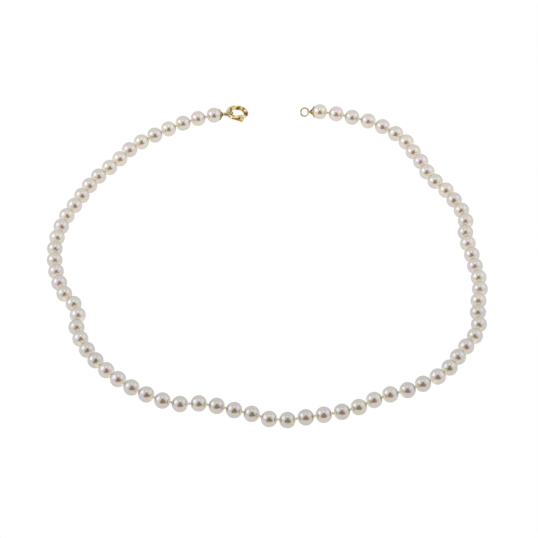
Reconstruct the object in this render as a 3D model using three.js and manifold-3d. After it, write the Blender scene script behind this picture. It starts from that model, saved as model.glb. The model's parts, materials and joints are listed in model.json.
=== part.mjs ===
// A knotted pearl necklace laid out flat: a single strand of round pearls on silk, a bell cap at each
// end, a spring-ring clasp on the left cap and a plain jump ring on the right cap.
// Millimetres, +Z up. The strand lies on z = 0 and the origin is the middle of its footprint.

import * as THREE from 'three';
import { mergeVertices } from 'three/addons/utils/BufferGeometryUtils.js';
import Module from 'manifold-3d';

const wasm = await Module();
wasm.setup();

// ---- driving dimensions -------------------------------------------------------------------------

const PEARL_R = 2.875;        // 5.5 to 6 mm pearls
const PITCH = 6.415;          // pearl centre to pearl centre along the silk
const LINKS = 38;             // rigid links of two pearls each, hinged at the knots between them
const THREAD_R = 0.26;        // silk with its knot, seen between two pearls
const KNOT_REACH = 0.2;       // how far a link's silk passes the knot it turns about

const CAP_APEX = 4.13;        // bell cap apex, from the end pearl's centre
const CAP_GAP = 0.08;         // running gap between cap and pearl
const CAVITY_R = 0.6;         // room inside the cap for the end knot
const CAVITY_END = 3.55;      // bottom of that room, from the end pearl's centre
const END_KNOT_R = 0.42;
const LEFT_DROOP = 10;        // degrees that the left cap tips down
const RIGHT_DROOP = 13;       // degrees that the right cap tips down

const WIRE_R = 0.17;          // wire of the cap loops
const LOOP_R = 0.53;          // mean radius of the cap loops
const LEFT_LOOP_ROLL = -60;   // degrees that each loop is rolled about its cap's axis
const RIGHT_LOOP_ROLL = -49;

const JUMP_R = 1.575;         // jump rings: centre line radius and wire radius
const JUMP_WIRE_R = 0.25;
const JUMP_SLACK = 0.04;      // play of a jump ring in its loop

const RING_R = 3.4;           // spring ring: centre line of its tube
const TUBE_R = 0.85;
const BORE_R = 0.6;
const BOLT_R = 0.5;
const RING_TILT = 6;          // degrees that the clasp leans, the end on the jump ring up
const RING_PLAY = 0.06;       // how far the tube lies off the middle of the jump ring round it
const RING_HEIGHT = 1.2;      // clasp centre above the table
const MOUTH = 286;            // ring angles in degrees, counted from the side away from the strand
const CATCH = 326;            // the bolt bridges the gap from the mouth to the catch
const SOCKET_DEPTH = 6;       // degrees that the catch is drilled
const BOLT_TAIL = 220;
const BOLT_TIP = 329;
const BORE_END = 136;
const BORE_RUNOUT = 4;        // degrees that each bore is cut past the tube's end
const TRAVEL = 44;            // degrees that the bolt draws back
const TRIGGER = 268;          // where the trigger stands on the bolt when the clasp is closed
const SLOT_HALF = 0.26;
const STEM_R = 0.2;
const STEM_PLAY = 0.04;       // room round the stem in the bolt; twice that in the slot
const SLEEVE_R = 1.07;        // thumb sleeve round the tube
const SLEEVE_GAP = 0.06;
const SLEEVE_FROM = 252;
const SLEEVE_TO = 284;
const SPRING_COILS = 9;
const SPRING_R = 0.42;        // centre line of the coil, round the tube's own centre line
const SPRING_WIRE_R = 0.09;
const SPRING_SEAT = 2;        // degrees from the end of the bore to the coil's first turn
const SPRING_PLAY = 3;        // degrees from the coil's last turn to the bolt

// How finely the round parts are cut: sides of a section, steps along a ring, degrees along an arc.
const WELD = 1e-5;
const ROUTE_SAMPLES = 4000;
const SILK_SIDES = 6;
const CAP_SIDES = 16;
const WIRE_SIDES = 6;
const LOOP_STEPS = 14;
const JUMP_SIDES = 8;
const JUMP_STEPS = 26;
const TUBE_SIDES = 14;
const BORE_SIDES = 12;
const BOLT_SIDES = 10;
const TUBE_STEP = 9;
const SLEEVE_STEP = 8;
const SLOT_STEP = 6;
const SPRING_SIDES = 4;
const SPRING_STEPS_PER_COIL = 8;

// The knots' route over the table, from the clasp end round to the ring end.
const ROUTE = [
  [-17.5, 87], [-30, 82], [-41.5, 74.5], [-51, 66], [-59, 54.5], [-66.5, 43.5], [-71.5, 32],
  [-76, 20], [-78, 6.5], [-77, -6.5], [-73.5, -19], [-68, -30.5], [-67, -44], [-61, -54.5],
  [-53, -64.5], [-43, -72.5], [-32, -77.5], [-19, -78.5], [-7, -82.5], [5, -86], [17, -84],
  [29.5, -80.5], [41, -74], [53, -68.5], [63, -60.5], [69.5, -50], [75, -39], [76, -26.5],
  [77, -13.5], [75.5, -1], [73.5, 12], [73, 24.5], [69, 36], [62, 47.5], [57, 59.5], [51.5, 71],
  [42, 80], [29.5, 85.5], [16, 89],
];

// ---- materials ----------------------------------------------------------------------------------

const pearl = new THREE.MeshStandardMaterial({ color: 0xece8e4, roughness: 0.18, metalness: 0.0 });
const silk = new THREE.MeshStandardMaterial({ color: 0xe9dfc6, roughness: 0.85, metalness: 0.0 });
const gold = new THREE.MeshStandardMaterial({ color: 0xd8b765, roughness: 0.2, metalness: 1.0 });
const steel = new THREE.MeshStandardMaterial({ color: 0xb9bcc0, roughness: 0.3, metalness: 1.0 });

// ---- solids -------------------------------------------------------------------------------------

const radians = THREE.MathUtils.degToRad;

// A three.js geometry as a manifold solid, turned and moved by a matrix.
function solid(geometry, matrix = new THREE.Matrix4()) {
  const bare = geometry.clone();
  bare.deleteAttribute('normal');
  bare.deleteAttribute('uv');
  const merged = mergeVertices(bare.applyMatrix4(matrix), WELD);
  const corners = merged.index.array;
  const kept = [];
  for (let i = 0; i < corners.length; i += 3) {
    const [a, b, c] = corners.slice(i, i + 3);
    if (a !== b && b !== c && c !== a) {
      kept.push(a, b, c);
    }
  }
  return new wasm.Manifold(new wasm.Mesh({
    numProp: 3,
    vertProperties: new Float32Array(merged.attributes.position.array),
    triVerts: new Uint32Array(kept),
  }));
}

// A manifold solid as a named three.js mesh.
function piece(name, body, material) {
  const mesh = body.getMesh();
  const geometry = new THREE.BufferGeometry();
  geometry.setAttribute('position', new THREE.BufferAttribute(mesh.vertProperties, 3));
  geometry.setIndex(new THREE.BufferAttribute(mesh.triVerts, 1));
  geometry.computeVertexNormals();
  const result = new THREE.Mesh(geometry, material);
  result.name = name;
  return result;
}

// A matrix that carries +Y onto a direction and the origin to a place.
function along(direction, place) {
  const turn = new THREE.Quaternion().setFromUnitVectors(new THREE.Vector3(0, 1, 0), direction);
  return new THREE.Matrix4().compose(place, turn, new THREE.Vector3(1, 1, 1));
}

// A short round bar from one point to another.
function bar(from, to, radius, sides) {
  const span = to.clone().sub(from);
  const middle = from.clone().add(to).multiplyScalar(0.5);
  const shape = new THREE.CylinderGeometry(radius, radius, span.length(), sides);
  return solid(shape, along(span.normalize(), middle));
}

// An arc of a circle in the XY plane, between two angles in degrees.
class Arc extends THREE.Curve {
  constructor(radius, from, to) {
    super();
    this.radius = radius;
    this.from = radians(from);
    this.to = radians(to);
  }

  getPoint(t, target = new THREE.Vector3()) {
    const angle = this.from + (this.to - this.from) * t;
    return target.set(this.radius * Math.cos(angle), this.radius * Math.sin(angle), 0);
  }
}

function circle(radius, sides) {
  const corners = Array.from({ length: sides }, (_, i) => {
    const angle = (2 * Math.PI * (i + 0.5)) / sides;
    return new THREE.Vector2(radius * Math.cos(angle), radius * Math.sin(angle));
  });
  return new THREE.Shape(corners);
}

function sweep(shape, path, steps) {
  return solid(new THREE.ExtrudeGeometry(shape, { steps, extrudePath: path, bevelEnabled: false }));
}

// A round section of given radius swept along the spring ring's arc, with closed ends.
function bentRod(sectionRadius, from, to, sides, stepAngle) {
  const steps = Math.max(1, Math.round((to - from) / stepAngle));
  return sweep(circle(sectionRadius, sides), new Arc(RING_R, from, to), steps);
}

function wireRing(meanRadius, wireRadius, sides, steps) {
  return solid(new THREE.TorusGeometry(meanRadius, wireRadius, sides, steps));
}

// ---- the strand ---------------------------------------------------------------------------------

// Knots at equal chords of two pitches along a smooth curve through the route.
function stepKnots(count, chord) {
  const points = ROUTE.map(([x, y]) => new THREE.Vector3(x, y, PEARL_R));
  const curve = new THREE.CatmullRomCurve3(points, false, 'centripetal');
  const samples = curve.getSpacedPoints(ROUTE_SAMPLES);
  const knots = [samples[0]];
  for (let i = 1; i < samples.length && knots.length < count; i += 1) {
    const last = knots[knots.length - 1];
    if (samples[i].distanceTo(last) >= chord) {
      knots.push(samples[i]);
    }
  }
  const heading = samples[samples.length - 1].clone().sub(samples[samples.length - 2]).normalize();
  while (knots.length < count) {
    knots.push(knots[knots.length - 1].clone().addScaledVector(heading, chord));
  }
  return knots;
}

const knots = stepKnots(LINKS + 1, 2 * PITCH);
const headings = knots.map((_, i) => {
  const before = knots[Math.max(i - 1, 0)];
  const after = knots[Math.min(i + 1, LINKS)];
  return after.clone().sub(before).normalize();
});

// A frame at a point, with x along a plan heading and tipped down by an angle.
function endFrame(place, heading, droop) {
  const frame = new THREE.Group();
  frame.position.copy(place);
  frame.rotation.set(0, radians(droop), Math.atan2(heading.y, heading.x), 'ZYX');
  return frame;
}

function pearlBall(centre) {
  return solid(new THREE.IcosahedronGeometry(PEARL_R, 1), new THREE.Matrix4().setPosition(centre));
}

// Two pearls with the silk between them; the silk of every link but the last reaches the next knot.
// A link is placed by the knot it starts at, with its x along the strand there.
function pearlPair(index) {
  const first = knots[index].clone().addScaledVector(headings[index], PITCH / 2);
  const second = knots[index + 1].clone().addScaledVector(headings[index + 1], -PITCH / 2);
  let body = pearlBall(first).add(pearlBall(second)).add(bar(first, second, THREAD_R, SILK_SIDES));
  if (index < LINKS - 1) {
    const tip = knots[index + 1].clone().addScaledVector(headings[index + 1], KNOT_REACH);
    body = body.add(bar(second, tip, THREAD_R, SILK_SIDES));
  }
  const place = endFrame(knots[index], headings[index], 0);
  place.updateMatrix();
  const local = body.transform(place.matrix.clone().invert().elements);
  const mesh = piece(`pearl_pair_${String(index + 1).padStart(2, '0')}`, local, pearl);
  mesh.position.copy(place.position);
  mesh.rotation.copy(place.rotation);
  return mesh;
}

// ---- end fittings -------------------------------------------------------------------------------
// Each fitting is built on its own +X axis: x runs out from the end pearl, z up, y across.

const ALONG_X = new THREE.Matrix4().makeRotationZ(-Math.PI / 2);
const UPRIGHT = new THREE.Matrix4().makeRotationX(Math.PI / 2);

// A flared bell cap that hugs the end pearl, with a closed apex and a wire loop on it.
function bellCap(name, loopCentre, roll) {
  const inner = PEARL_R + CAP_GAP;
  const rimAngles = [44, 36, 28, 20];
  const sphere = rimAngles.map((a) => new THREE.Vector2(
    inner * Math.sin(radians(a)), inner * Math.cos(radians(a))));
  const profile = [
    new THREE.Vector2(0, CAVITY_END),
    new THREE.Vector2(0.42, CAVITY_END - 0.12),
    new THREE.Vector2(CAVITY_R, CAVITY_END - 0.42),
    new THREE.Vector2(CAVITY_R, inner * Math.cos(Math.asin(CAVITY_R / inner))),
    ...sphere.reverse(),
    new THREE.Vector2(2.2, 2.14),
    new THREE.Vector2(1.98, 2.42),
    new THREE.Vector2(1.5, 2.86),
    new THREE.Vector2(1.02, 3.22),
    new THREE.Vector2(0.78, 3.55),
    new THREE.Vector2(0.52, 3.95),
    new THREE.Vector2(0.3, CAP_APEX),
    new THREE.Vector2(0, CAP_APEX + 0.03),
  ];
  const bell = solid(new THREE.LatheGeometry(profile, CAP_SIDES), ALONG_X);
  const place = new THREE.Matrix4().makeTranslation(loopCentre, 0, 0);
  place.multiply(new THREE.Matrix4().makeRotationX(radians(roll)));
  place.multiply(UPRIGHT);
  const loop = wireRing(LOOP_R, WIRE_R, WIRE_SIDES, LOOP_STEPS).transform(place.elements);
  return piece(name, bell.add(loop), gold);
}

function endKnot(name) {
  const ball = new THREE.IcosahedronGeometry(END_KNOT_R, 1);
  const place = new THREE.Matrix4().makeScale(0.55, 1, 1).setPosition(CAVITY_END - 0.38, 0, 0);
  return piece(name, solid(ball, place), silk);
}

// The spring ring, in its own plane and centred on its own axis; the strand is on its -X side.
function claspBody() {
  const slotShape = new THREE.Shape([
    new THREE.Vector2(-SLOT_HALF, 0),
    new THREE.Vector2(SLOT_HALF, 0),
    new THREE.Vector2(SLOT_HALF, 2 * TUBE_R),
    new THREE.Vector2(-SLOT_HALF, 2 * TUBE_R),
  ]);
  const slotAngle = (STEM_R + 2 * STEM_PLAY) / RING_R * THREE.MathUtils.RAD2DEG;
  const slot = ringCut(slotShape, TRIGGER - TRAVEL - slotAngle, TRIGGER + slotAngle);
  const bore = bentRod(BORE_R, BORE_END, MOUTH + BORE_RUNOUT, BORE_SIDES, TUBE_STEP);
  const socket = bentRod(BORE_R, CATCH - BORE_RUNOUT, CATCH + SOCKET_DEPTH, BORE_SIDES, TUBE_STEP);
  const tube = bentRod(TUBE_R, CATCH - 360, MOUTH, TUBE_SIDES, TUBE_STEP);
  return piece('clasp_ring', tube.subtract(bore).subtract(socket).subtract(slot), gold);
}

// A bar of ring section from one ring angle to another, outward from the tube's centre line.
function ringCut(shape, from, to) {
  const flat = shape.getPoints().map((p) => new THREE.Vector2(RING_R + p.y, p.x));
  const steps = Math.ceil((to - from) / SLOT_STEP);
  const rings = Array.from({ length: steps + 1 }, (_, i) => radians(from + ((to - from) * i) / steps));
  const vertices = rings.flatMap((a) => flat.flatMap((p) => [
    p.x * Math.cos(a), p.x * Math.sin(a), p.y]));
  const faces = [0, 2, 1, 0, 3, 2].concat([0, 1, 2, 0, 2, 3].map((v) => v + 4 * steps));
  for (let i = 0; i < steps; i += 1) {
    for (let j = 0; j < 4; j += 1) {
      const a = 4 * i + j;
      const b = 4 * i + ((j + 1) % 4);
      faces.push(a, b, a + 4, b, b + 4, a + 4);
    }
  }
  const geometry = new THREE.BufferGeometry();
  geometry.setAttribute('position', new THREE.Float32BufferAttribute(vertices, 3));
  geometry.setIndex(faces);
  return solid(geometry);
}

// The bolt: a bent pin with a drilled seat for the trigger.
function claspBolt() {
  const seat = radialBar(TRIGGER, RING_R - 0.1, RING_R + 1, STEM_R + STEM_PLAY);
  const pin = bentRod(BOLT_R, BOLT_TAIL, BOLT_TIP, BOLT_SIDES, TUBE_STEP);
  return piece('clasp_bolt', pin.subtract(seat), gold);
}

function radialBar(angle, from, to, radius) {
  const out = new THREE.Vector3(Math.cos(radians(angle)), Math.sin(radians(angle)), 0);
  return bar(out.clone().multiplyScalar(from), out.clone().multiplyScalar(to), radius, BOLT_SIDES);
}

// The trigger: a stem in the bolt, a sleeve that rides on the tube and a round thumb knob.
function claspTrigger() {
  const roomR = TUBE_R + SLEEVE_GAP;
  const room = bentRod(roomR, SLEEVE_FROM - BORE_RUNOUT, SLEEVE_TO + BORE_RUNOUT, TUBE_SIDES, SLEEVE_STEP);
  const sleeve = bentRod(SLEEVE_R, SLEEVE_FROM, SLEEVE_TO, TUBE_SIDES, SLEEVE_STEP).subtract(room);
  const stem = radialBar(TRIGGER, RING_R - 0.02, RING_R + SLEEVE_R + 0.2, STEM_R);
  const out = new THREE.Vector3(Math.cos(radians(TRIGGER)), Math.sin(radians(TRIGGER)), 0);
  const knobProfile = [[0, 0.86], [0.55, 0.86], [0.42, 1.2], [0.42, 1.45], [0.66, 1.68], [0.66, 1.95],
    [0.4, 2.16], [0, 2.2]].map(([r, s]) => new THREE.Vector2(r, s));
  const knobPlace = along(out, out.clone().multiplyScalar(RING_R));
  const knob = solid(new THREE.LatheGeometry(knobProfile, 12), knobPlace).subtract(room);
  return piece('clasp_trigger', sleeve.add(stem).add(knob), gold);
}

// The coil spring behind the bolt, a wire helix bent round the ring.
class BentHelix extends THREE.Curve {
  getPoint(t, target = new THREE.Vector3()) {
    const first = BORE_END + SPRING_SEAT;
    const around = radians(first + (BOLT_TAIL - SPRING_PLAY - first) * t);
    const turn = 2 * Math.PI * SPRING_COILS * t;
    const out = RING_R + SPRING_R * Math.cos(turn);
    return target.set(out * Math.cos(around), out * Math.sin(around), SPRING_R * Math.sin(turn));
  }
}

function claspSpring() {
  const section = circle(SPRING_WIRE_R, SPRING_SIDES);
  const steps = SPRING_COILS * SPRING_STEPS_PER_COIL;
  return piece('clasp_spring', sweep(section, new BentHelix(), steps), steel);
}

// A plain wire ring, in its own plane.
function jumpRing(name) {
  return piece(name, wireRing(JUMP_R, JUMP_WIRE_R, JUMP_SIDES, JUMP_STEPS), gold);
}

// ---- assembly -----------------------------------------------------------------------------------

const necklace = new THREE.Group();
for (let i = 0; i < LINKS; i += 1) {
  necklace.add(pearlPair(i));
}

// A bell cap and end knot on an end pearl, with a jump ring hanging from the cap's loop. The jump
// ring lies in the plane of the cap's axis and the loop's own axis.
function necklaceEnd(side, knot, heading, droop, roll, ringName) {
  const pearlCentre = knot.clone().addScaledVector(heading, -PITCH / 2);
  const end = endFrame(pearlCentre, heading, droop);
  const loop = CAP_APEX + LOOP_R - WIRE_R;
  end.add(bellCap(`${side}_bell_cap`, loop, roll), endKnot(`${side}_end_knot`));
  const hanging = new THREE.Group();
  hanging.position.set(loop + JUMP_R + JUMP_SLACK, 0, 0);
  hanging.rotation.x = radians(roll);
  hanging.add(jumpRing(ringName));
  end.add(hanging);
  necklace.add(end);
  return end;
}

const leftOut = headings[0].clone().negate();
const leftEnd = necklaceEnd('left', knots[0], leftOut, LEFT_DROOP, LEFT_LOOP_ROLL, 'clasp_link');
necklaceEnd('right', knots[LINKS], headings[LINKS], RIGHT_DROOP, RIGHT_LOOP_ROLL, 'end_ring');

// The clasp lies on the table with its tube through the left jump ring.
const reach = CAP_APEX + LOOP_R - WIRE_R + JUMP_R + JUMP_SLACK;
const claspOut = reach * Math.cos(radians(LEFT_DROOP)) + RING_PLAY + RING_R * Math.cos(radians(RING_TILT));
const claspCentre = leftEnd.position.clone().addScaledVector(leftOut, claspOut);
claspCentre.z = RING_HEIGHT;
const clasp = endFrame(claspCentre, leftOut, RING_TILT);
clasp.add(claspBody(), claspBolt(), claspTrigger(), claspSpring());
necklace.add(clasp);

const bounds = new THREE.Box3().setFromObject(necklace, true);
const centre = bounds.getCenter(new THREE.Vector3());
necklace.position.set(-centre.x, -centre.y, -bounds.min.z);

export default necklace;
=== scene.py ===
"""Looks of a knotted pearl necklace with gold bell caps, a spring ring clasp and a jump ring."""

import json
import math
import random

import bpy
import numpy as np
from mathutils import Matrix, Vector, noise


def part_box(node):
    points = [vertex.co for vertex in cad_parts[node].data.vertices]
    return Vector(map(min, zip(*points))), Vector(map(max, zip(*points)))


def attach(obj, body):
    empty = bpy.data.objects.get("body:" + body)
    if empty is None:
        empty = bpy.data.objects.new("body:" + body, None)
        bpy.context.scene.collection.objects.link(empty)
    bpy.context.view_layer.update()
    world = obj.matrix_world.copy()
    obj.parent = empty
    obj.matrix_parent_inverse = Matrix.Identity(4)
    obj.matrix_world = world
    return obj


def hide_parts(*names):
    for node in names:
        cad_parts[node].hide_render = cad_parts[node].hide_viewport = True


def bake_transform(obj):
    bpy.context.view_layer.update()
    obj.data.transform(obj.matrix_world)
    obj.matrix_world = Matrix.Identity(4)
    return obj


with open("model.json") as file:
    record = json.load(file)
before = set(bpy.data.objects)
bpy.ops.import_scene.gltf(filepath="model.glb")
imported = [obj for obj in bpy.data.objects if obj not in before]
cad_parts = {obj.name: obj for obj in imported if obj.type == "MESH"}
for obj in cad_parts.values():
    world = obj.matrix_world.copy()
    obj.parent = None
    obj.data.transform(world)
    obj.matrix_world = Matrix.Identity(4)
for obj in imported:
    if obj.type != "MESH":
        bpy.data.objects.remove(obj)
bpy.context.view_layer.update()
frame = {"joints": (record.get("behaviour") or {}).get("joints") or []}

MM = 0.001
LINKS = 38
PITCH = 6.415 * MM
PEARL_R = 2.875 * MM


# ---- places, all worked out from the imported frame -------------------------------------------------

JOINTS = {joint["name"]: joint for joint in frame["joints"]}


def anchor(name):
    return Vector(JOINTS[name]["pos_m"])


def axis(name):
    return Vector(JOINTS[name]["axis"]).normalized()


def knot_anchors():
    """The 37 hinged knots in order, with the strand's two end points worked out beside them."""
    inner = [anchor(name) for name in sorted(JOINTS) if name.startswith("knot_")]
    left_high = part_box("pearl_pair_01")[1]
    right_low, right_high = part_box(f"pearl_pair_{LINKS:02d}")
    first_pearl = Vector((left_high.x - PEARL_R, left_high.y - PEARL_R, PEARL_R))
    last_pearl = Vector((right_low.x + PEARL_R, right_high.y - PEARL_R, PEARL_R))
    start = inner[0] + (first_pearl - inner[0]).normalized() * 2 * PITCH
    end = inner[-1] + (last_pearl - inner[-1]).normalized() * 2 * PITCH
    return [start, *inner, end]


KNOTS = knot_anchors()
HEADINGS = [
    (KNOTS[min(i + 1, LINKS)] - KNOTS[max(i - 1, 0)]).normalized() for i in range(LINKS + 1)
]


def pearl_centres():
    """Two pearl centres for each link, half a pitch inward from its two knots."""
    pairs = []
    for i in range(LINKS):
        first = KNOTS[i] + HEADINGS[i] * PITCH / 2
        second = KNOTS[i + 1] - HEADINGS[i + 1] * PITCH / 2
        pairs.append((first, second))
    return pairs


PAIRS = pearl_centres()


def link_body(index):
    return f"link_{index + 1:02d}"


def place(origin, x_axis, z_hint):
    """A matrix with its x along x_axis and its z as near z_hint as that allows."""
    x = x_axis.normalized()
    y = z_hint.cross(x).normalized()
    z = x.cross(y)
    turn = Matrix((x, y, z)).transposed().to_4x4()
    return Matrix.Translation(origin) @ turn


UP = Vector((0, 0, 1))


# ---- camera ---------------------------------------------------------------------------------------

VIEW_ELEVATION = math.radians(40.5)
VIEW_DISTANCE = 1.314
VIEW_TARGET = Vector((0.0011, -0.0075, PEARL_R))
LENS_MM = 240.9
SENSOR_MM = 36
NEAREST_SEEN = 0.01
FARTHEST_SEEN = 20


def add_camera():
    data = bpy.data.cameras.new("camera")
    data.lens = LENS_MM
    data.sensor_width = SENSOR_MM
    data.clip_start = NEAREST_SEEN
    data.clip_end = FARTHEST_SEEN
    camera = bpy.data.objects.new("camera", data)
    back = Vector((0, -math.cos(VIEW_ELEVATION), math.sin(VIEW_ELEVATION)))
    camera.location = VIEW_TARGET + back * VIEW_DISTANCE
    camera.rotation_euler = (math.pi / 2 - VIEW_ELEVATION, 0, 0)
    bpy.context.scene.collection.objects.link(camera)
    bpy.context.scene.camera = camera


add_camera()


# ---- mesh helpers ---------------------------------------------------------------------------------

def mesh_piece(name, vertices, faces, material, matrix=None):
    data = bpy.data.meshes.new(name)
    data.from_pydata([tuple(v) for v in vertices], [], faces)
    if matrix is not None:
        data.transform(matrix)
    data.shade_smooth()
    data.validate()
    data.materials.append(material)
    piece = bpy.data.objects.new(name, data)
    bpy.context.scene.collection.objects.link(piece)
    return piece


def grid_faces(rows, columns, close_rows, close_columns):
    faces = []
    for i in range(rows if close_rows else rows - 1):
        for j in range(columns if close_columns else columns - 1):
            a = i * columns + j
            b = i * columns + (j + 1) % columns
            c = ((i + 1) % rows) * columns + (j + 1) % columns
            d = ((i + 1) % rows) * columns + j
            faces.append((a, b, c, d))
    return faces


def lathe(profile, sides, closed=False):
    """A surface of revolution about x from (x, radius) points; an open one gets a point at each end."""
    rings = [p for p in profile if p[1] > 0]
    vertices = [
        (x, r * math.cos(2 * math.pi * k / sides), r * math.sin(2 * math.pi * k / sides))
        for x, r in rings
        for k in range(sides)
    ]
    faces = grid_faces(len(rings), sides, closed, True)
    if not closed:
        for tip, row in ((profile[0], 0), (profile[-1], len(rings) - 1)):
            vertices.append((tip[0], 0, 0))
            centre = len(vertices) - 1
            for k in range(sides):
                a = row * sides + k
                b = row * sides + (k + 1) % sides
                faces.append((centre, b, a) if row == 0 else (centre, a, b))
    return vertices, faces


def bent_lathe(profile, ring_radius, sides, closed=False):
    """A lathe about the arc of a ring: each profile point is (ring angle in degrees, section radius)."""
    vertices, faces = lathe(profile, sides, closed)
    bent = []
    for angle, y, z in vertices:
        a = math.radians(angle)
        out = ring_radius + y
        bent.append((out * math.cos(a), out * math.sin(a), z))
    return bent, faces


def normals_along(points):
    """Normal and binormal at each point, carried along the line without twist."""
    tangents = np.gradient(np.array(points, float), axis=0)
    tangents /= np.linalg.norm(tangents, axis=1)[:, None]
    helper = np.array((0.0, 0.0, 1.0)) if abs(tangents[0][2]) < 0.9 else np.array((0.0, 1.0, 0.0))
    normal = np.cross(tangents[0], helper)
    normals = []
    for t in tangents:
        normal = normal - t * (normal @ t)
        normal /= np.linalg.norm(normal)
        normals.append(normal)
    normals = np.array(normals)
    return normals, np.cross(tangents, normals)


def tube(points, radius, sides, ply=0, ply_depth=0.0, ply_length=1.0):
    """A round tube along points with flat ends; ply gives it that many twisted strands."""
    points = np.array(points, float)
    normals, binormals = normals_along(points)
    steps = np.linalg.norm(np.diff(points, axis=0), axis=1)
    reach = np.concatenate(([0.0], np.cumsum(steps)))
    vertices = []
    for p, n, b, s in zip(points, normals, binormals, reach):
        for k in range(sides):
            a = 2 * math.pi * k / sides
            bulge = 1 + ply_depth * math.cos(ply * a + 2 * math.pi * s / ply_length)
            vertices.append(p + radius * bulge * (math.cos(a) * n + math.sin(a) * b))
    faces = grid_faces(len(points), sides, False, True)
    faces.append(tuple(reversed(range(sides))))
    faces.append(tuple(range((len(points) - 1) * sides, len(points) * sides)))
    return vertices, faces


def torus(ring_radius, wire_radius, around, sides):
    vertices = []
    for i in range(around):
        a = 2 * math.pi * i / around
        for k in range(sides):
            b = 2 * math.pi * k / sides
            out = ring_radius + wire_radius * math.cos(b)
            vertices.append((out * math.cos(a), out * math.sin(a), wire_radius * math.sin(b)))
    return vertices, grid_faces(around, sides, True, True)


def arc_points(centre, radius, start, end, count):
    """Points of a round corner in a profile, from one angle to another in degrees."""
    points = []
    for i in range(count + 1):
        a = math.radians(start + (end - start) * i / count)
        points.append((centre[0] + radius * math.cos(a), centre[1] + radius * math.sin(a)))
    return points


def combine(target, other, operation):
    """A boolean join or cut of target by other, applied to target; other is removed."""
    modifier = target.modifiers.new("boolean", "BOOLEAN")
    modifier.operation = operation
    modifier.solver = "EXACT"
    modifier.object = other
    bpy.context.view_layer.update()
    depsgraph = bpy.context.evaluated_depsgraph_get()
    made = bpy.data.meshes.new_from_object(target.evaluated_get(depsgraph))
    target.modifiers.clear()
    target.data = made
    target.data.shade_smooth()
    bpy.data.objects.remove(other)
    return target


def sharpen(piece, degrees):
    """Smooth shading that still breaks at corners sharper than the angle."""
    piece.data.set_sharp_from_angle(angle=math.radians(degrees))


# ---- materials ------------------------------------------------------------------------------------

# The colour sockets of the mix node, by number because the node repeats their names for every data type.
MIX_FACTOR = 0
MIX_A = 6
MIX_B = 7
MIX_RESULT = 2


class Nodes:
    """A material's node tree with short calls for the nodes used here."""

    def __init__(self, name):
        self.material = bpy.data.materials.new(name)
        self.material.use_nodes = True
        self.tree = self.material.node_tree
        self.shader = self.tree.nodes["Principled BSDF"]

    def add(self, kind, **values):
        node = self.tree.nodes.new(kind)
        for key, value in values.items():
            if hasattr(node, key):
                setattr(node, key, value)
            else:
                node.inputs[key.replace("_", " ")].default_value = value
        return node

    def link(self, source, target):
        self.tree.links.new(source, target)

    def coordinates(self):
        return self.add("ShaderNodeTexCoord").outputs["Object"]

    def noise(self, vector, scale, detail=2.0, roughness=0.5):
        node = self.add("ShaderNodeTexNoise", Scale=scale, Detail=detail, Roughness=roughness)
        self.link(vector, node.inputs["Vector"])
        return node.outputs["Fac"]

    def ramp(self, factor, stops):
        node = self.add("ShaderNodeValToRGB")
        elements = node.color_ramp.elements
        while len(elements) < len(stops):
            elements.new(0.5)
        for element, (position, colour) in zip(elements, stops):
            element.position = position
            element.color = (*colour, 1)
        self.link(factor, node.inputs["Fac"])
        return node.outputs["Color"]

    def mix(self, factor, a, b, blend="MIX"):
        node = self.add("ShaderNodeMix", data_type="RGBA", blend_type=blend)
        self.put(factor, node.inputs[MIX_FACTOR])
        self.put(a, node.inputs[MIX_A])
        self.put(b, node.inputs[MIX_B])
        return node.outputs[MIX_RESULT]

    def remap(self, value, low, high, out_low, out_high):
        node = self.add("ShaderNodeMapRange")
        limits = {"From Min": low, "From Max": high, "To Min": out_low, "To Max": out_high}
        for socket, number in limits.items():
            node.inputs[socket].default_value = number
        self.link(value, node.inputs["Value"])
        return node.outputs["Result"]

    def bump(self, height, strength, distance):
        node = self.add("ShaderNodeBump", Strength=strength, Distance=distance)
        self.link(height, node.inputs["Height"])
        self.link(node.outputs["Normal"], self.shader.inputs["Normal"])

    def put(self, value, socket):
        if isinstance(value, bpy.types.NodeSocket):
            self.link(value, socket)
        elif isinstance(value, tuple):
            socket.default_value = (*value, 1)
        else:
            socket.default_value = value

    def set(self, **values):
        for key, value in values.items():
            self.shader.inputs[key.replace("_", " ")].default_value = value


def attribute(nodes, name):
    return nodes.add("ShaderNodeAttribute", attribute_name=name).outputs["Fac"]


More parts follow.
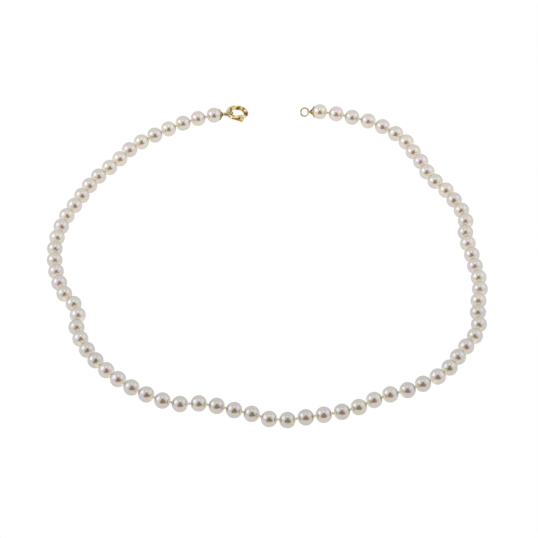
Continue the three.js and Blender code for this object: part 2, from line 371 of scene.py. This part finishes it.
def nacre():
    """Nacre: a satin mirror over a warm white body, with soft overtones, painted shade toward the front,
    and round each drill hole a cream stain with painted reflection of the silk and a painted glow.
    """
    n = Nodes("nacre")
    where = n.coordinates()
    overtone = n.ramp(attribute(n, "overtone"), [
        (0.0, (0.725, 0.70, 0.615)),
        (0.35, (0.765, 0.705, 0.625)),
        (0.65, (0.73, 0.685, 0.64)),
        (1.0, (0.785, 0.695, 0.67)),
    ])
    orient = n.ramp(n.noise(where, 260, 2.0), [
        (0.32, (0.725, 0.725, 0.585)),
        (0.5, (0.75, 0.695, 0.63)),
        (0.68, (0.775, 0.67, 0.71)),
    ])
    body = n.mix(0.5, overtone, orient)
    grown = n.ramp(n.noise(where, 900, 3.0), [(0.35, (0.96, 0.96, 0.96)), (0.65, (1.0, 1.0, 1.0))])
    body = n.mix(0.6, body, grown, "MULTIPLY")
    # Painted shade: greyer toward the front of the table, whiter toward the clasp, with a small random
    # spread per pearl.
    painted_shade_and_whiteness = n.ramp(attribute(n, "front_shade_and_whiteness"), [
        (0.0, (0.79, 0.805, 0.825)),
        (1.0, (1.0, 0.985, 0.96)),
    ])
    body = n.mix(1.0, body, painted_shade_and_whiteness, "MULTIPLY")
    # Round each drill hole: cream that is partly stain and partly painted reflection of the silk, less
    # metal, and a painted glow.
    drill = attribute(n, "drill")
    stain_and_painted_reflection = n.remap(drill, 0.0, 1.0, 0.0, 0.85)
    n.link(n.mix(stain_and_painted_reflection, body, (0.86, 0.78, 0.60)), n.shader.inputs["Base Color"])
    n.link(n.remap(drill, 0.0, 1.0, 0.84, 0.2), n.shader.inputs["Metallic"])
    n.link(n.remap(drill, 0.0, 1.0, 0.0, 0.15), n.shader.inputs["Emission Strength"])
    satin = n.remap(n.noise(where, 500, 3.0), 0.3, 0.7, 0.20, 0.26)
    n.link(satin, n.shader.inputs["Roughness"])
    # The painted glow round the drill holes is cream.
    n.set(Coat_Weight=0.2, Coat_Roughness=0.1, Emission_Color=(0.92, 0.84, 0.62, 1.0))
    n.set(Specular_Tint=(0.76, 0.74, 0.70, 1.0))
    n.bump(n.noise(where, 420, 2.0), 0.05, 0.00002)
    return n.material


def silk():
    """Cream silk: soft, with a little sheen, a fine fibre noise and a faint glow."""
    n = Nodes("silk")
    where = n.coordinates()
    shade = n.ramp(n.noise(where, 2400, 4.0), [
        (0.3, (0.58, 0.53, 0.37)),
        (0.55, (0.67, 0.62, 0.46)),
        (0.75, (0.76, 0.72, 0.58)),
    ])
    n.link(shade, n.shader.inputs["Base Color"])
    n.link(n.remap(n.noise(where, 3000, 2.0), 0.3, 0.7, 0.55, 0.8), n.shader.inputs["Roughness"])
    # Painted glow: the silk gives a faint light of its own colour, lifting the shade on the thin thread
    # between the pearls.
    n.link(shade, n.shader.inputs["Emission Color"])
    n.set(Sheen_Weight=0.5, Sheen_Roughness=0.4, Emission_Strength=0.06)
    n.bump(n.noise(where, 9000, 3.0), 0.3, 0.00002)
    return n.material


def gold():
    """Polished yellow gold: rubbed edges, painted shade in its creases and fine scratches.

    Painted patches of light and dark stand in for the reflections of a room that isn't modelled, and the
    grazing tint is darker than real gold's.
    """
    n = Nodes("gold")
    where = n.coordinates()
    tone = n.ramp(n.noise(where, 700, 3.0), [
        (0.3, (0.60, 0.45, 0.16)),
        (0.7, (0.73, 0.57, 0.25)),
    ])
    geometry = n.add("ShaderNodeNewGeometry")
    edge = n.remap(geometry.outputs["Pointiness"], 0.52, 0.6, 0.0, 0.8)
    # Painted shade: concave creases, found by pointiness, are darkened in the base colour where shade would
    # fall.
    painted_crease_shade = n.remap(geometry.outputs["Pointiness"], 0.49, 0.43, 0.0, 0.7)
    # Painted reflections: noise patches of light and dark in the base colour, for the reflections of a
    # room.
    painted_reflection_patches = n.ramp(n.noise(where, 620, 1.0), [
        (0.36, (1.0, 0.92, 0.62)),
        (0.47, (0.80, 0.64, 0.30)),
        (0.53, (0.62, 0.45, 0.14)),
        (0.60, (0.17, 0.09, 0.015)),
    ])
    with_painted_reflections = n.mix(0.8, tone, painted_reflection_patches)
    rubbed = n.mix(edge, with_painted_reflections, (0.93, 0.80, 0.50))
    # Painted shade: a near-black brown laid into the creases.
    n.link(n.mix(painted_crease_shade, rubbed, (0.10, 0.055, 0.02)), n.shader.inputs["Base Color"])
    stretch = n.add("ShaderNodeMapping")
    stretch.inputs["Scale"].default_value = (1.0, 6.0, 1.0)
    n.link(where, stretch.inputs["Vector"])
    scratches = n.noise(stretch.outputs["Vector"], 2500, 4.0, 0.7)
    n.link(n.remap(scratches, 0.35, 0.75, 0.06, 0.16), n.shader.inputs["Roughness"])
    n.set(Metallic=1.0, Specular_Tint=(0.32, 0.22, 0.08, 1.0))
    n.bump(scratches, 0.05, 0.00001)
    return n.material


def steel():
    """Drawn spring wire."""
    n = Nodes("spring_wire")
    where = n.coordinates()
    tone = n.ramp(n.noise(where, 3000, 3.0), [(0.3, (0.42, 0.42, 0.43)), (0.7, (0.6, 0.6, 0.6))])
    n.link(tone, n.shader.inputs["Base Color"])
    n.link(n.remap(n.noise(where, 5000, 2.0), 0.3, 0.7, 0.2, 0.4), n.shader.inputs["Roughness"])
    n.set(Metallic=1.0)
    return n.material


NACRE = nacre()
SILK = silk()
GOLD = gold()
STEEL = steel()


def finish_piece(piece, body, slot, *nodes):
    if nodes:
        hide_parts(*nodes)
    if body is not None:
        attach(piece, body)
    return piece


# ---- pearls ---------------------------------------------------------------------------------------

PEARL_ROWS = 34
PEARL_SIDES = 48
HOLE_R = 0.34 * MM
HOLE_LIP = 0.12 * MM
OUT_OF_ROUND = 0.009
BULGE_SCALE = 1.3
DIMPLE_SCALE = 4.0
DIMPLE_SHARE = 0.3
SQUEEZE = 0.006
# The cream stain, painted reflection and painted glow round a drill hole are full within the first angle
# off the pearl's axis and gone by their sum.
DRILL_STAIN_AND_GLOW_FULL = 9
DRILL_STAIN_AND_GLOW_FADE = 34
DRILL_STAIN_AND_GLOW_CURVE = 1.5
# Painted shade: the pearls are painted darker toward the front, where the dark room lies, and whiter toward
# the clasp: The photograph's pearls get whiter toward the clasp, from their colour or from the light, which
# can't be told.
# this share of the range for each metre toward the clasp.
WHITER_AT_BACK = 4.6
WHITENESS_SPREAD = 0.16
PEARL_SEED = 7


def pearl_profile():
    """Outer sphere, rounded lip and drilled hole as one closed (x, radius) loop."""
    opening = math.asin((HOLE_R + HOLE_LIP) / PEARL_R)
    outer = []
    for i in range(PEARL_ROWS):
        a = opening + (math.pi - 2 * opening) * i / (PEARL_ROWS - 1)
        outer.append((PEARL_R * math.cos(a), PEARL_R * math.sin(a)))
    mouth = PEARL_R * math.cos(opening)
    lip = [
        (mouth, HOLE_R + HOLE_LIP * 0.55),
        (mouth - 0.05 * MM, HOLE_R + HOLE_LIP * 0.15),
        (mouth - 0.16 * MM, HOLE_R),
        (mouth - 0.9 * MM, HOLE_R),
    ]
    inner = [(-x, r) for x, r in lip] + [(x, r) for x, r in reversed(lip)]
    return outer + inner, len(outer)


def pearl(index, centre, along, body, rng):
    """One pearl, a little out of round, with attributes for its overtone, its painted shade with a random
    white of its own, and the cream and painted glow round its drill holes.
    """
    profile, outer_rows = pearl_profile()
    vertices, faces = lathe(profile, PEARL_SIDES, closed=True)
    seed = Vector((rng.uniform(0, 90), rng.uniform(0, 90), rng.uniform(0, 90)))
    squeeze = Vector((1, 1 + rng.uniform(-SQUEEZE, SQUEEZE), 1 + rng.uniform(-SQUEEZE, SQUEEZE)))
    shaped = []
    drill = []
    for i, (x, y, z) in enumerate(vertices):
        point = Vector((x, y, z))
        if i < outer_rows * PEARL_SIDES:
            direction = point.normalized()
            bulge = OUT_OF_ROUND * noise.noise(direction * BULGE_SCALE + seed)
            bulge += OUT_OF_ROUND * DIMPLE_SHARE * noise.noise(direction * DIMPLE_SCALE + seed)
            point = Vector([c * s for c, s in zip(point * (1 + bulge), squeeze)])
            off_axis = math.degrees(math.acos(min(1.0, abs(direction.x))))
            left = max(0.0, 1 - (off_axis - DRILL_STAIN_AND_GLOW_FULL) / DRILL_STAIN_AND_GLOW_FADE)
            drill.append(left ** DRILL_STAIN_AND_GLOW_CURVE)
        else:
            drill.append(1.0)
        shaped.append(point)
    roll = Matrix.Rotation(rng.uniform(0, 2 * math.pi), 4, "X")
    piece = mesh_piece(f"pearl_{index:02d}", shaped, faces, NACRE, place(centre, along, UP) @ roll)
    tone = rng.betavariate(2, 2)
    front_shade_and_whiteness = 0.5 + WHITER_AT_BACK * centre.y + rng.uniform(-WHITENESS_SPREAD, WHITENESS_SPREAD)
    uniform = {"overtone": tone, "front_shade_and_whiteness": front_shade_and_whiteness}
    layers = {"drill": drill, **{name: [value] * len(shaped) for name, value in uniform.items()}}
    for name, values in layers.items():
        layer = piece.data.attributes.new(name, "FLOAT", "POINT")
        layer.data.foreach_set("value", np.array(values, np.float32).clip(0, 1))
    piece.data.update()
    return finish_piece(piece, body, "pearl")


def add_pearls():
    rng = random.Random(PEARL_SEED)
    for i, (first, second) in enumerate(PAIRS):
        for side, centre in enumerate((first, second)):
            along = HEADINGS[i + side]
            piece = pearl(2 * i + side + 1, centre, along, link_body(i), rng)
            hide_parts(f"pearl_pair_{i + 1:02d}")


# ---- silk -----------------------------------------------------------------------------------------

THREAD_R = 0.19 * MM
WRAP_R = 0.3 * MM
WRAP_REACH = 0.13 * MM
WRAP_RUN_OUT = 0.16 * MM
WRAPS = 2.2
WRAP_STEPS = 44
PEARL_MOUTH = 0.42 * MM
THREAD_CLEARANCE = 0.05 * MM
SILK_SEED = 11


def knot_line(length, tilt):
    """A thread along x that comes up out of one pearl, wraps round itself and goes down the next."""
    points = [(-length, 0, 0), (-0.6 * length, 0, 0), (-PEARL_MOUTH, 0, 0)]
    for i in range(WRAP_STEPS + 1):
        t = i / WRAP_STEPS
        swell = math.sin(math.pi * min(1.0, min(t, 1 - t) * 5 + 0.06) / 2)
        a = 2 * math.pi * WRAPS * t
        x = (2 * t - 1) * (WRAP_REACH + (1 - swell) * WRAP_RUN_OUT)
        y = WRAP_R * swell * math.cos(a)
        z = WRAP_R * swell * math.sin(a)
        points.append((x + tilt * y, y, z))
    points += [(PEARL_MOUTH, 0, 0), (0.6 * length, 0, 0), (length, 0, 0)]
    return points


def silk_knot(name, centre, along, rng):
    line = knot_line(PITCH / 2 - THREAD_CLEARANCE, rng.uniform(-0.3, 0.3))
    vertices, faces = tube(line, THREAD_R, 12, ply=3, ply_depth=0.13, ply_length=0.9 * MM)
    roll = Matrix.Rotation(rng.uniform(0, 2 * math.pi), 4, "X")
    return mesh_piece(name, vertices, faces, SILK, place(centre, along, UP) @ roll)


def add_silk():
    """A knot inside each link, which rides with it, and one on each joint, which is put on no link."""
    rng = random.Random(SILK_SEED)
    for i, (first, second) in enumerate(PAIRS):
        middle = (first + second) / 2
        piece = silk_knot(f"silk_{2 * i + 1:02d}", middle, second - first, rng)
        finish_piece(piece, link_body(i), "silk")
        if i + 1 < LINKS:
            knot = KNOTS[i + 1]
            heading = HEADINGS[i + 1]
            piece = silk_knot(f"silk_{2 * i + 2:02d}", knot, heading, rng)
            finish_piece(piece, None, "silk")
            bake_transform(piece)


# ---- end fittings ---------------------------------------------------------------------------------

CAP_APEX = 4.13 * MM
CAP_GAP = 0.08 * MM
CAVITY_R = 0.6 * MM
CAVITY_END = 3.55 * MM
CAVITY_FILLET = 0.25 * MM
RIM_ANGLE = 44
RIM_LIP = 0.09 * MM
# The trumpet outside the cap, from rim to neck, as (distance from the pearl's centre, radius) in mm.
FLARE = [(2.42, 1.93), (2.62, 1.68), (2.86, 1.42), (3.1, 1.16), (3.33, 0.93), (3.56, 0.74),
         (3.76, 0.61), (3.9, 0.54)]
NECK_BEAD = [(3.95, 0.56), (4.0, 0.57), (4.06, 0.52), (4.11, 0.4)]
WIRE_R = 0.17 * MM
LOOP_R = 0.53 * MM
END_KNOT_FROM = 3.02 * MM
END_KNOT_LENGTH = 0.36 * MM
END_KNOT_SWELL = 0.22 * MM
END_KNOT_TURNS = 2.4
END_KNOT_STEPS = 40
END_THREAD_R = 0.13 * MM


def cap_profile():
    """A flared bell in section: cavity, seat on the pearl, rounded rim, trumpet outside and neck bead."""
    seat = PEARL_R + CAP_GAP
    points = [(CAVITY_END, 0), (CAVITY_END, 0.3 * MM)]
    corner = (CAVITY_END - CAVITY_FILLET, CAVITY_R - CAVITY_FILLET)
    points += arc_points(corner, CAVITY_FILLET, 0, 90, 5)
    edge = math.degrees(math.asin(CAVITY_R / seat))
    points += arc_points((0, 0), seat, edge, RIM_ANGLE, 13)
    rim_x, rim_r = points[-1]
    points += arc_points((rim_x + 0.02 * MM, rim_r + RIM_LIP), RIM_LIP, 200, 40, 6)
    points += [(x * MM, r * MM) for x, r in FLARE + NECK_BEAD]
    points += [(CAP_APEX + 0.02 * MM, 0.22 * MM), (CAP_APEX + 0.03 * MM, 0)]
    return points


def bell_cap(name, centre, outward, loop_centre, loop_axis, body):
    """The cap on its pearl, joined with the wire loop on its apex."""
    vertices, faces = lathe(cap_profile(), 56)
    cap = mesh_piece(name, vertices, faces, GOLD, place(centre, outward, UP))
    vertices, faces = torus(LOOP_R, WIRE_R, 48, 16)
    turn = loop_axis.to_track_quat("Z", "Y").to_matrix().to_4x4()
    loop = mesh_piece("loop", vertices, faces, GOLD, Matrix.Translation(loop_centre) @ turn)
    combine(cap, loop, "UNION")
    sharpen(cap, 50)
    return finish_piece(cap, body, "gold", name)


def end_knot(name, centre, outward, body):
    """The last knot, drawn up inside the cap, with its thread in the end pearl."""
    points = [(0.5 * MM, 0, 0), (2.2 * MM, 0, 0), (2.88 * MM, 0, 0)]
    for i in range(END_KNOT_STEPS + 1):
        t = i / END_KNOT_STEPS
        a = 2 * math.pi * END_KNOT_TURNS * t
        swell = END_KNOT_SWELL * math.sin(math.pi * t) + 0.01 * MM
        points.append((END_KNOT_FROM + END_KNOT_LENGTH * t, swell * math.cos(a), swell * math.sin(a)))
    vertices, faces = tube(points, END_THREAD_R, 10, ply=3, ply_depth=0.12, ply_length=0.8 * MM)
    piece = mesh_piece(f"silk_{name}", vertices, faces, SILK, place(centre, outward, UP))
    return finish_piece(piece, body, "silk", name)


def cap_loop(end_name):
    """Where a cap's loop is, and which way it faces: the hinge of the jump ring hanging in it."""
    hinge = {"left": "clasp_link_swing", "right": "end_ring_swing"}[end_name]
    return anchor(hinge), axis(hinge)


def add_end(end_name, centre, body):
    loop_centre, loop_axis = cap_loop(end_name)
    outward = loop_centre - centre
    bell_cap(f"{end_name}_bell_cap", centre, outward, loop_centre, loop_axis, body)
    end_knot(f"{end_name}_end_knot", centre, outward, body)


def add_ends():
    add_end("left", PAIRS[0][0], link_body(0))
    add_end("right", PAIRS[-1][1], link_body(LINKS - 1))


# ---- rings ----------------------------------------------------------------------------------------

JUMP_R = 1.575 * MM
JUMP_WIRE_R = 0.25 * MM
JUMP_SLACK = 0.04 * MM
JUMP_SEAM_FILLET = 0.05 * MM
# Where each ring's seam sits, in degrees round from its outermost point.
END_RING_SEAM = 118
CLASP_LINK_SEAM = 155


def rod_profile(start, end, radius, ring_radius, fillet):
    """A bent rod with rounded ends, as (ring angle, section radius) points."""
    turn = fillet / (math.radians(1) * ring_radius)
    corner = radius - fillet
    tip = [(start, 0), (start, corner * 0.5)]
    for degrees in (0, 22.5, 45, 67.5, 90):
        a = math.radians(degrees)
        tip.append((start + turn * (1 - math.cos(a)), corner + fillet * math.sin(a)))
    steps = max(2, int((end - start) / 4))
    length = end - start - 2 * turn
    shaft = [(start + turn + length * i / steps, radius) for i in range(1, steps)]
    return tip + shaft + [(start + end - x, r) for x, r in reversed(tip)]


def jump_ring(end_name, centre, name, body, node, seam_degrees):
    """A ring with a fine seam, hanging in a cap's loop; its centre is returned."""
    loop_centre, loop_axis = cap_loop(end_name)
    outward = (loop_centre - centre).normalized()
    middle = loop_centre + outward * (JUMP_R + JUMP_SLACK)
    profile = rod_profile(1.0, 359.0, JUMP_WIRE_R, JUMP_R, JUMP_SEAM_FILLET)
    vertices, faces = bent_lathe(profile, JUMP_R, 18)
    seam = Matrix.Rotation(math.radians(seam_degrees), 4, "Z")
    matrix = place(middle, outward, outward.cross(loop_axis)) @ seam
    piece = mesh_piece(name, vertices, faces, GOLD, matrix)
    sharpen(piece, 60)
    finish_piece(piece, body, "gold", node)
    return middle


def add_rings():
    """Both jump rings; the centre of the one that holds the clasp is returned."""
    jump_ring("right", PAIRS[-1][1], "end_ring_wire", "end_ring", "end_ring", END_RING_SEAM)
    return jump_ring("left", PAIRS[0][0], "connecting_ring", "clasp_link", "clasp_link", CLASP_LINK_SEAM)


# ---- clasp ----------------------------------------------------------------------------------------

# Angles are in degrees round the ring, from the side away from the connecting ring.
RING_R = 3.4 * MM
TUBE_R = 0.85 * MM
BORE_R = 0.6 * MM
BOLT_R = 0.5 * MM
MOUTH = 286
CATCH = 326
SOCKET_DEPTH = 6
BOLT_TAIL = 220
BOLT_TIP = 329
BORE_END = 136
TRAVEL = 44
TRIGGER = 268
SLOT_HALF = 0.26 * MM
SLOT_SPARE = 0.08 * MM
# How far out from the tube's centre line the slot's cutter starts and ends, in tube radii.
SLOT_FROM = 0.15
SLOT_PAST = 2
STEM_R = 0.2 * MM
SLEEVE_R = 1.07 * MM
SLEEVE_GAP = 0.06 * MM
SLEEVE_CROWN = 0.03 * MM
SLEEVE_FROM = 252
SLEEVE_TO = 284
SPRING_COILS = 11
COIL_STEPS = 18
COIL_R = 0.43 * MM
COIL_WIRE_R = 0.085 * MM
SPRING_FROM = BORE_END + 3
SPRING_TO = BOLT_TAIL - 3
BOLT_FILLET = 0.16 * MM
# The thumb knob on its stem, as (distance out from the tube's centre line, radius) in mm.
KNOB = [(-0.02, 0), (-0.02, 0.2), (0.9, 0.2), (0.96, 0.36), (1.02, 0.5), (1.1, 0.5), (1.2, 0.43),
        (1.32, 0.39), (1.45, 0.42), (1.56, 0.55), (1.66, 0.65), (1.8, 0.69), (1.95, 0.65),
        (2.07, 0.53), (2.15, 0.36), (2.19, 0.18), (2.2, 0)]


def clasp_frame(held_at):
    """The spring ring's own frame: x points away from where the jump ring holds it."""
    normal = axis("clasp_bolt_draw")
    centre = anchor("clasp_bolt_draw")
    across = centre - held_at
    across = across - normal * across.dot(normal)
    return place(centre, across, normal)


def wall_turn(outer, inner):
    """How far, in degrees round the ring, the rounded end of a tube's wall reaches."""
    return 0.5 * (outer - inner) / (math.radians(1) * RING_R)


def straight(start, end, radius, steps):
    return [(start + (end - start) * i / steps, radius) for i in range(steps + 1)]


def wall_end(angle, turn, first, last, degrees):
    """The rounded end of a tube's wall, from the first radius to the last; turn is its reach."""
    middle = (first + last) / 2
    half = (first - last) / 2
    points = []
    for a in map(math.radians, degrees):
        points.append((angle + turn * math.sin(a), middle + half * math.cos(a)))
    return points


def tube_profile():
    """The hollow ring along its arc: bore, rounded mouth, outer wall, rounded catch, socket."""
    turn = wall_turn(TUBE_R, BORE_R)
    rounding = (30, 60, 90, 120, 150)
    start = MOUTH - turn
    end = CATCH - 360 + turn
    floor = end + SOCKET_DEPTH - turn
    points = [(BORE_END, 0), (BORE_END, BORE_R * 0.6), (BORE_END + 1, BORE_R * 0.9)]
    points += straight(BORE_END + 3, start, BORE_R, 36)
    points += wall_end(start, turn, BORE_R, TUBE_R, rounding)
    points += straight(start, end, TUBE_R, 84)
    points += wall_end(end, -turn, TUBE_R, BORE_R, rounding)
    points += [(end, BORE_R), (end + SOCKET_DEPTH - 1, BORE_R)]
    points += [(floor, BORE_R * 0.9), (floor, BORE_R * 0.5), (floor, 0)]
    return points


def slot_cutter(matrix):
    """A bar of ring section with rounded ends, for the slot that the trigger runs in."""
    end_angle = (STEM_R + SLOT_SPARE) / RING_R
    start = math.radians(TRIGGER - TRAVEL) - end_angle
    end = math.radians(TRIGGER) + end_angle
    steps = 20
    vertices = []
    for i in range(steps + 1):
        a = start + (end - start) * i / steps
        reach = min(a - start, end - a) * RING_R
        half = SLOT_HALF * math.sqrt(max(0.12, 1 - max(0.0, 1 - reach / SLOT_HALF) ** 2))
        for out, up in ((SLOT_FROM, -1), (SLOT_PAST, -1), (SLOT_PAST, 1), (SLOT_FROM, 1)):
            r = RING_R + out * TUBE_R
            vertices.append((r * math.cos(a), r * math.sin(a), up * half))
    faces = grid_faces(steps + 1, 4, False, True)
    faces.append((3, 2, 1, 0))
    faces.append(tuple(4 * steps + k for k in range(4)))
    cutter = mesh_piece("slot_cutter", vertices, faces, GOLD, matrix)
    cutter.data.flip_normals()
    return cutter


def radial(angle):
    """A matrix with x pointing out of the ring at an angle, from the tube's centre line."""
    a = math.radians(angle)
    on_line = Matrix.Translation((RING_R * math.cos(a), RING_R * math.sin(a), 0))
    return on_line @ Matrix.Rotation(a, 4, "Z")


def add_clasp_ring(matrix):
    vertices, faces = bent_lathe(tube_profile(), RING_R, 36)
    ring = mesh_piece("spring_ring", vertices, faces, GOLD, matrix)
    combine(ring, slot_cutter(matrix), "DIFFERENCE")
    sharpen(ring, 45)
    finish_piece(ring, "clasp", "gold", "clasp_ring")


def add_bolt(matrix):
    profile = rod_profile(BOLT_TAIL, BOLT_TIP, BOLT_R, RING_R, BOLT_FILLET)
    vertices, faces = bent_lathe(profile, RING_R, 28)
    bolt = mesh_piece("bolt_pin", vertices, faces, GOLD, matrix)
    sharpen(bolt, 50)
    finish_piece(bolt, "clasp_bolt", "gold", "clasp_bolt")


def sleeve_profile():
    """The thumb sleeve's wall along the arc, as a closed loop with rounded ends and a slight crown."""
    inner = TUBE_R + SLEEVE_GAP
    turn = wall_turn(SLEEVE_R, inner)
    rounding = (36, 72, 108, 144)
    start = SLEEVE_FROM + turn
    end = SLEEVE_TO - turn
    steps = 12
    points = []
    for i, (angle, radius) in enumerate(straight(start, end, SLEEVE_R, steps)):
        points.append((angle, radius + SLEEVE_CROWN * math.sin(math.pi * i / steps)))
    points += wall_end(end, turn, SLEEVE_R, inner, rounding)
    points += straight(end, start, inner, steps)
    points += wall_end(start, -turn, inner, SLEEVE_R, rounding)
    return points


def add_trigger(matrix):
    vertices, faces = bent_lathe(sleeve_profile(), RING_R, 40, closed=True)
    sleeve = mesh_piece("thumb_trigger", vertices, faces, GOLD, matrix)
    vertices, faces = lathe([(x * MM, r * MM) for x, r in KNOB], 32)
    stem = mesh_piece("knob", vertices, faces, GOLD, matrix @ radial(TRIGGER))
    combine(sleeve, stem, "UNION")
    sharpen(sleeve, 50)
    finish_piece(sleeve, "clasp_bolt", "gold", "clasp_trigger")


def add_spring(matrix):
    """The coil behind the bolt, put on no body."""
    points = []
    steps = SPRING_COILS * COIL_STEPS
    for i in range(steps + 1):
        t = i / steps
        around = math.radians(SPRING_FROM + (SPRING_TO - SPRING_FROM) * t)
        turn = 2 * math.pi * SPRING_COILS * t
        out = RING_R + COIL_R * math.cos(turn)
        points.append((out * math.cos(around), out * math.sin(around), COIL_R * math.sin(turn)))
    vertices, faces = tube(points, COIL_WIRE_R, 8)
    piece = mesh_piece("clasp_coil", vertices, faces, STEEL, matrix)
    finish_piece(piece, None, "spring_steel", "clasp_spring")
    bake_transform(piece)


def add_clasp(held_at):
    matrix = clasp_frame(held_at)
    add_clasp_ring(matrix)
    add_bolt(matrix)
    add_trigger(matrix)
    add_spring(matrix)


# ---- stage ----------------------------------------------------------------------------------------

FLOOR_HALF = 1.6
TABLE_GLOW = 0.945
TABLE_MATT = 0.06


def plain_mesh(name, corners, material):
    data = bpy.data.meshes.new(name)
    data.from_pydata(corners, [], [tuple(range(len(corners)))])
    data.materials.append(material)
    piece = bpy.data.objects.new(name, data)
    bpy.context.scene.collection.objects.link(piece)
    return piece


def glowing(name, colour, strength, base):
    """A matt surface that mostly gives its own light."""
    material = bpy.data.materials.new(name)
    material.use_nodes = True
    shader = material.node_tree.nodes["Principled BSDF"]
    shader.inputs["Base Color"].default_value = (base, base, base, 1)
    shader.inputs["Roughness"].default_value = 1.0
    shader.inputs["Specular IOR Level"].default_value = 0.0
    shader.inputs["Emission Color"].default_value = (*colour, 1)
    shader.inputs["Emission Strength"].default_value = strength
    return material


def reflections_only(card):
    card.visible_camera = False
    card.visible_diffuse = False
    card.visible_shadow = False
    card.visible_transmission = False


def add_floor():
    """A white light table, seen only as light and in the polish, so that nothing hides behind it."""
    h = FLOOR_HALF
    corners = [(-h, -h, 0), (h, -h, 0), (h, h, 0), (-h, h, 0)]
    floor = plain_mesh("floor", corners, glowing("floor", (1, 1, 1), TABLE_GLOW, TABLE_MATT))
    floor.visible_camera = False


CARD_Y = -0.42
CARD_BASE = (-0.30, 0.38)
CARD_TOP = (-0.05, 0.13)
CARD_FOOT = 0.002
CARD_HEIGHT = 1.0
CARD_BROWN = (0.31, 0.142, 0.03)


def add_front_card():
    """A brown card in front of the table, seen only in the polish of the pearls and the gold."""
    corners = [(CARD_BASE[0], CARD_Y, CARD_FOOT), (CARD_BASE[1], CARD_Y, CARD_FOOT),
               (CARD_TOP[1], CARD_Y, CARD_HEIGHT), (CARD_TOP[0], CARD_Y, CARD_HEIGHT)]
    card = plain_mesh("front_card", corners, glowing("front_card", CARD_BROWN, 1.0, 0.0))
    reflections_only(card)


LIGHT_DISTANCE = 0.9
# Name, direction from the necklace, diameter, power and colour of each round light.
LIGHTS = [
    ("left_softbox", (-0.84, -0.07, 0.54), 0.72, 1.5, (0.52, 0.66, 1.0)),
    ("right_softbox", (0.78, 0.05, 0.62), 0.8, 0.7, (0.5, 0.64, 1.0)),
    ("top_lamp", (0.0, -0.05, 1.0), 0.14, 0.14, (0.9, 0.95, 1.0)),
]


def area_light(name, direction, size, power, colour):
    data = bpy.data.lights.new(name, "AREA")
    data.shape = "DISK"
    data.size = size
    data.energy = power
    data.color = colour
    light = bpy.data.objects.new(name, data)
    light.location = Vector(direction).normalized() * LIGHT_DISTANCE
    light.rotation_euler = Vector(direction).to_track_quat("Z", "Y").to_euler()
    bpy.context.scene.collection.objects.link(light)


SKY = (0.93, 0.93, 0.93)
WHITE = (1.0, 1.0, 1.0)


def add_world():
    """A white light tent: pure white behind the necklace, a touch greyer as a light."""
    world = bpy.data.worlds.new("tent")
    world.use_nodes = True
    tree = world.node_tree
    background = tree.nodes["Background"]
    path = tree.nodes.new("ShaderNodeLightPath")
    mix = tree.nodes.new("ShaderNodeMix")
    mix.data_type = "RGBA"
    tree.links.new(path.outputs["Is Camera Ray"], mix.inputs[MIX_FACTOR])
    mix.inputs[MIX_A].default_value = (*SKY, 1)
    mix.inputs[MIX_B].default_value = (*WHITE, 1)
    tree.links.new(mix.outputs[MIX_RESULT], background.inputs["Color"])
    background.inputs["Strength"].default_value = 1.0
    bpy.context.scene.world = world


def add_stage():
    add_floor()
    add_front_card()
    add_world()
    for light in LIGHTS:
        area_light(*light)
    bpy.context.scene.view_settings.view_transform = "Standard"


add_pearls()
add_silk()
add_ends()
add_clasp(add_rings())
add_stage()
